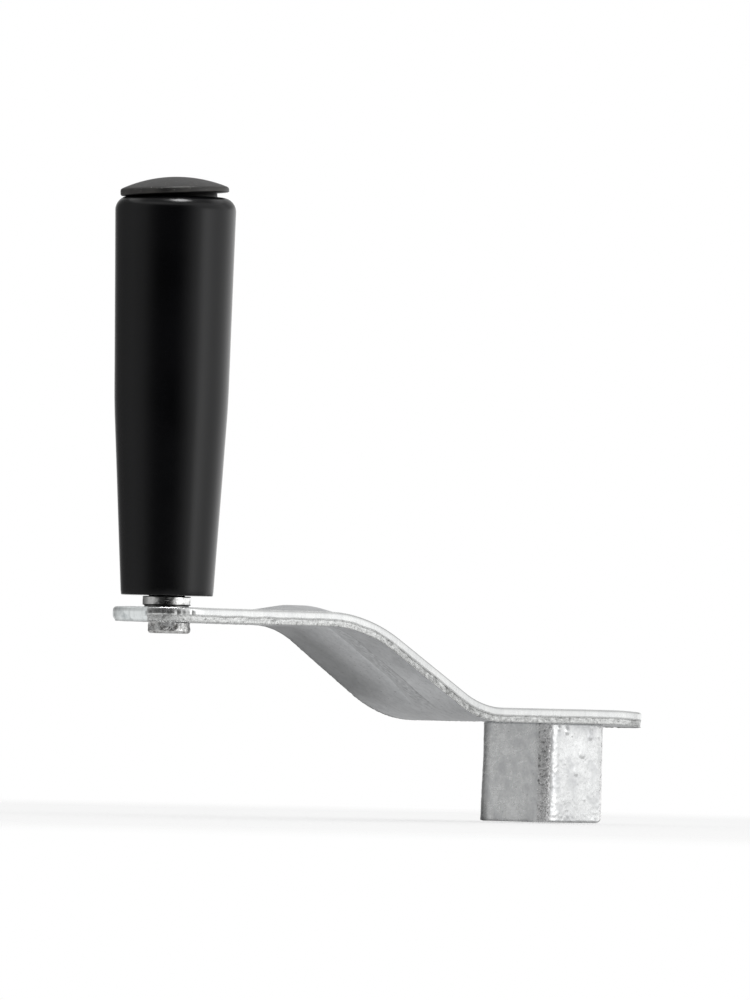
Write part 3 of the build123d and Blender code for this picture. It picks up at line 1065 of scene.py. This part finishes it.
def zinc_tumbled():
    """The soft outer end of the strip: pale, matt and faintly blue."""
    skin = Surface("zinc_tumbled")
    clouds = skin.noise(220, 4.0, 0.6)
    streaks = skin.streaks(900, 900, 160)
    skin.paint(clouds, (0.32, (0.60, 0.64, 0.65)), (0.48, (0.95, 0.99, 0.99)))
    skin.dim(0.40, streaks, (0.34, 0.5), (0.54, 1.0))
    skin.tone()
    skin.polish(clouds, (0.30, 0.42), (0.70, 0.30))
    skin.bump(streaks, 0.05 * MM, 0.5)
    return skin.finish(metallic=0.30)


def zinc_block():
    """Galvanised block: mottled grey patches, fine grit and small pits."""
    skin = Surface("zinc_block")
    patches = skin.noise(190, 5.0, 0.7)
    fine = skin.noise(1400, 3.0, 0.6)
    skin.paint(patches, (0.34, (0.76, 0.77, 0.78)), (0.50, (0.90, 0.91, 0.91)),
               (0.64, (0.97, 0.98, 0.98)))
    skin.dim(0.2, fine, (0.30, 0.55), (0.60, 1.0))
    skin.dim(0.5, skin.cells(420), (0.04, 0.45), (0.13, 1.0))
    skin.tone()
    skin.polish(patches, (0.30, 0.34), (0.70, 0.22))
    skin.bump(patches, 0.08 * MM, 0.6)
    skin.bump(fine, 0.02 * MM, 0.4)
    return skin.finish(metallic=1.0)


def zinc_corner():
    """The hub's rounded corners: scaly, with dark pits between bright grains."""
    skin = Surface("zinc_corner")
    grains = skin.noise(1250, 3.0, 0.65)
    skin.paint(grains, (0.34, (0.30, 0.30, 0.30)), (0.44, (0.84, 0.84, 0.84)),
               (0.54, (0.98, 0.98, 0.98)))
    skin.tone()
    skin.polish(grains, (0.3, 0.45), (0.7, 0.22))
    skin.bump(grains, 0.35 * MM, 0.9)
    return skin.finish(metallic=1.0)


def bore_steel():
    """Cut thread: darker and oily."""
    skin = Surface("bore_steel")
    fine = skin.streaks(300, 300, 3000)
    skin.paint(fine, (0.30, (0.36, 0.36, 0.36)), (0.70, (0.58, 0.58, 0.57)))
    skin.polish(fine, (0.3, 0.45), (0.7, 0.28))
    skin.bump(fine, 0.02 * MM, 0.5)
    return skin.finish(metallic=1.0)


def turned_steel():
    """Bright turned steel with fine rings round the pin's axis."""
    skin = Surface("turned_steel")
    rings = skin.streaks(20, 20, 5200)
    skin.paint(skin.noise(500), (0.30, (0.58, 0.58, 0.57)), (0.60, (0.70, 0.70, 0.69)))
    skin.polish(rings, (0.30, 0.30), (0.70, 0.17))
    skin.bump(rings, 0.02 * MM, 0.6)
    return skin.finish(metallic=1.0)


def pin_steel():
    """The pin's bright plating, uneven and stained, with painted shade in the collar's neck."""
    skin = Surface("pin_steel")
    stain_and_shade = skin.noise(420, 3.0, 0.6)
    skin.paint(stain_and_shade, (0.36, (0.34, 0.34, 0.33)), (0.50, (0.86, 0.86, 0.85)),
               (0.65, (0.95, 0.95, 0.94)))
    skin.tone()
    skin.polish(stain_and_shade, (0.30, 0.24), (0.70, 0.12))
    skin.bump(stain_and_shade, 0.15 * MM, 0.8)
    skin.bump(skin.streaks(60, 60, 2600), 0.01 * MM, 0.3)
    return skin.finish(metallic=1.0)


def hammered_steel():
    """The riveted tail: dented and bright in patches, darker in its hollows."""
    skin = Surface("hammered_steel")
    dents = skin.noise(650, 3.0, 0.6)
    grit = skin.noise(2400, 2.0)
    skin.paint(dents, (0.34, (0.30, 0.29, 0.28)), (0.47, (0.74, 0.74, 0.73)),
               (0.64, (0.92, 0.92, 0.91)))
    skin.dim(0.4, grit, (0.32, 0.4), (0.5, 1.0))
    skin.tone()
    skin.polish(grit, (0.3, 0.34), (0.7, 0.16))
    skin.bump(dents, 0.35 * MM, 0.9)
    return skin.finish(metallic=1.0)


def spring_steel():
    """Dark phosphated spring steel, worn brighter in spots."""
    skin = Surface("spring_steel")
    wear = skin.noise(900, 3.0, 0.6)
    skin.paint(wear, (0.45, (0.10, 0.10, 0.105)), (0.75, (0.26, 0.26, 0.27)))
    skin.polish(wear, (0.3, 0.5), (0.7, 0.32))
    skin.bump(wear, 0.02 * MM, 0.5)
    return skin.finish(metallic=1.0)


def black_grip():
    """Smooth black moulding with a satin gloss, faint flow marks and handling haze."""
    skin = Surface("black_grip")
    haze = skin.noise(38, 5.0, 0.6)
    skin.paint(haze, (0.35, (0.0013, 0.0014, 0.0017)), (0.70, (0.0026, 0.0027, 0.0034)))
    skin.polish(haze, (0.30, 0.19), (0.70, 0.25))
    skin.bump(skin.streaks(140, 140, 26, 3.0, 0.5), 0.06 * MM, 0.5)
    skin.bump(skin.noise(1100, 2.0), 0.006 * MM, 0.5)
    return skin.finish(level=0.32)


def black_cap():
    """Satin black moulding, a little warm, dusty on its crown."""
    skin = Surface("black_cap")
    dust = skin.noise(260, 4.0, 0.65)
    specks = skin.noise(1900, 2.0)
    skin.paint(dust, (0.38, (0.008, 0.007, 0.006)), (0.62, (0.024, 0.022, 0.019)))
    skin.mix(skin.ramp(specks, (0.67, 0.0), (0.74, 1.0)), (0.24, 0.24, 0.23))
    skin.tone()
    skin.polish(dust, (0.30, 0.42), (0.70, 0.56))
    skin.bump(specks, 0.03 * MM, 0.5)
    return skin.finish(level=0.66)


def dress(node, material):
    """Gives a CAD node its material."""
    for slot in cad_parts[node].material_slots:
        slot.material = material


# --- studio ---

WHITE = (1.0, 1.0, 1.0, 1.0)


def empty_tree(owner):
    """The cleared node tree of a material or world."""
    owner.use_nodes = True
    owner.node_tree.nodes.clear()
    return owner.node_tree


def studio_place(angle, distance, height):
    """A place round the object; angle 0 is the camera's side, positive to its right."""
    azimuth = CAMERA_AZIMUTH + radians(angle)
    return (CAMERA_TARGET.x + distance * sin(azimuth), -distance * cos(azimuth), height)


def soft_box(name, angle, distance, height, width, tall, radiance):
    """A large soft lamp that looks as bright as radiance from the object."""
    data = bpy.data.lights.new(name, "AREA")
    data.shape = "RECTANGLE"
    data.size = width
    data.size_y = tall
    data.energy = radiance * pi * width * tall
    lamp = add_object(name, data)
    lamp.visible_glossy = False
    place = Vector(studio_place(angle, distance, height))
    turn = (CAMERA_TARGET - place).to_track_quat("-Z", "Y").to_matrix().to_4x4()
    lamp.matrix_world = Matrix.Translation(place) @ turn


def level_square(centre, half, z):
    """The corners of a level square."""
    return [(centre[0] + x * half, centre[1] + y * half, z)
            for x, y in ((-1, -1), (1, -1), (1, 1), (-1, 1))]


def stand_card(name, points, faces, levels):
    """A plain card with a grey level at each point, seen by glossy surfaces alone."""
    mesh = bpy.data.meshes.new(name)
    mesh.from_pydata(points, [], faces)
    mesh.attributes.new("level", "FLOAT", "POINT").data.foreach_set("value", levels)
    material = bpy.data.materials.new(name)
    tree = empty_tree(material)
    level = add_node(tree, "ShaderNodeAttribute", {}, attribute_name="level").outputs["Fac"]
    glow = add_node(tree, "ShaderNodeEmission", {"Color": WHITE, "Strength": level})
    add_node(tree, "ShaderNodeOutputMaterial", {0: glow.outputs[0]})
    mesh.materials.append(material)
    thing = add_object(name, mesh)
    thing.visible_camera = False
    thing.visible_diffuse = False
    thing.visible_shadow = False


def level_card(name, centre, half, level):
    """A level card over or under the object."""
    stand_card(name, level_square(centre, half, centre[2]), [(0, 1, 2, 3)], [level] * 4)


WALL_LEVELS = (                  # (angle round the object, grey level that metal shows)
    (-180, 1.0), (-165, 0.6), (-150, 0.20), (-134, 0.14), (-112, 0.23), (-97, 0.35),
    (-84, 0.45), (-71, 0.44), (-60, 0.41), (-49, 0.24), (-39, 0.11), (-28, 0.03), (0, 0.0),
    (10, 0.02), (19, 0.12), (29, 0.33), (39, 0.66), (47, 0.88), (55, 1.75), (62, 2.05), (71, 1.65),
    (84, 1.20), (97, 1.0), (113, 1.0), (133, 1.15), (180, 1.0),
)
WALL_DISTANCE = 2.0
WALL_HEIGHTS = (-1.4, 0.35, 0.65, 1.6)
WALL_TURNS = 120
WALL_MIDDLE = 0.5                # above this height it is no brighter than the next two
WALL_UPPER = 0.92
WALL_UPPER_BEHIND = 0.52         # beyond BEHIND degrees from the camera's side
BEHIND = 118


def studio_wall():
    """A round wall of soft light and shade, unseen by the camera, that glossy surfaces show."""
    points = []
    levels = []
    for k in range(WALL_TURNS):
        angle = 360 * k / WALL_TURNS - 180
        level = between(WALL_LEVELS, angle)
        most = WALL_UPPER_BEHIND if abs(angle) > BEHIND else WALL_UPPER
        for height in WALL_HEIGHTS:
            points.append(studio_place(angle, WALL_DISTANCE, height))
            levels.append(min(level, most) if height > WALL_MIDDLE else level)
    rows = len(WALL_HEIGHTS)
    faces = []
    for k in range(WALL_TURNS):
        for row in range(rows - 1):
            here, after = k * rows + row, (k + 1) % WALL_TURNS * rows + row
            faces.append((here, after, after + 1, here + 1))
    stand_card("studio_wall", points, faces, levels)


FILL_LEVEL = 0.80                # of the world, on the object and the floor
FLOOR_COLOUR = (0.92, 0.92, 0.92, 1.0)
FLOOR_CENTRE = (-0.05, 0.0, -0.0003)
FLOOR_SOLID = 0.30               # radius of the floor, in metres, before it fades out
FLOOR_FADE = 0.65                # radius at which it has faded into the background
FLOOR_SHARE = 0.40               # of the floor's own colour; the rest is the white behind it


def add_world():
    """White for the rays that show the background, and a plain grey fill for the rest."""
    world = bpy.data.worlds.new("studio")
    bpy.context.scene.world = world
    tree = empty_tree(world)
    fill = add_node(tree, "ShaderNodeBackground", {"Color": WHITE, "Strength": FILL_LEVEL})
    white = add_node(tree, "ShaderNodeBackground", {"Color": WHITE, "Strength": 1.0})
    rays = add_node(tree, "ShaderNodeLightPath", {}).outputs
    shown = rays["Is Camera Ray"]
    for kind in ("Is Glossy Ray", "Is Transmission Ray"):
        most = add_node(tree, "ShaderNodeMath", {0: shown, 1: rays[kind]}, operation="MAXIMUM")
        shown = most.outputs[0]
    choose = add_node(tree, "ShaderNodeMixShader",
                      {0: shown, 1: fill.outputs[0], 2: white.outputs[0]})
    add_node(tree, "ShaderNodeOutputWorld", {0: choose.outputs[0]})


def add_floor():
    """A round pale floor that keeps the shadow and fades into the white background."""
    mesh = bpy.data.meshes.new("floor")
    mesh.from_pydata(level_square(FLOOR_CENTRE, 1.0, FLOOR_CENTRE[2]), [], [(0, 1, 2, 3)])
    material = bpy.data.materials.new("floor")
    tree = empty_tree(material)
    paint = add_node(tree, "ShaderNodeBsdfDiffuse", {"Color": FLOOR_COLOUR})
    clear = add_node(tree, "ShaderNodeBsdfTransparent", {})
    place = add_node(tree, "ShaderNodeTexCoord", {}).outputs["Object"]
    distance = add_node(tree, "ShaderNodeVectorMath", {0: place, 1: FLOOR_CENTRE},
                        operation="DISTANCE")
    fade = add_node(tree, "ShaderNodeMapRange",
                    {"Value": distance.outputs["Value"], "From Min": FLOOR_SOLID,
                     "From Max": FLOOR_FADE, "To Min": 1 - FLOOR_SHARE},
                    interpolation_type="SMOOTHSTEP")
    both = add_node(tree, "ShaderNodeMixShader",
                    {0: fade.outputs["Result"], 1: paint.outputs[0], 2: clear.outputs[0]})
    add_node(tree, "ShaderNodeOutputMaterial", {0: both.outputs[0]})
    mesh.materials.append(material)
    floor = add_object("floor", mesh)


def add_studio():
    """The floor, the soft lamps and the cards that metal and plastic mirror."""
    add_world()
    add_floor()
    soft_box("lamp_right", angle=61, distance=1.3, height=0.45, width=0.85, tall=1.6, radiance=1.5)
    soft_box("lamp_left", angle=-78, distance=1.5, height=0.45, width=0.7, tall=1.5, radiance=0.35)
    studio_wall()
    level_card("card_top", (CAMERA_TARGET.x, 0.0, 1.9), half=1.3, level=0.40)
    level_card("card_below", (CAMERA_TARGET.x, 0.0, -0.02), half=0.40, level=0.33)
    level_card("card_lamp", (PIN_X - 0.125, -0.292, 1.6), half=0.24, level=18.0)


# --- the whole ---

add_camera()
add_studio()

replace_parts(arm_piece([zinc_face(), zinc_sheared(), zinc_torn(), zinc_tumbled()]), "crank_arm")
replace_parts(hub_piece([zinc_block(), bore_steel(), zinc_corner()]), "hub")
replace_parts(pin_piece([pin_steel(), hammered_steel()]), "grip_pin")
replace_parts(grip_piece([black_grip()]), "handle_grip")
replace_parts(cap_piece([black_cap()]), "end_cap")

dress("grip_washer", turned_steel())
dress("retaining_ring", spring_steel())

bpy.context.scene.view_settings.view_transform = "Standard"
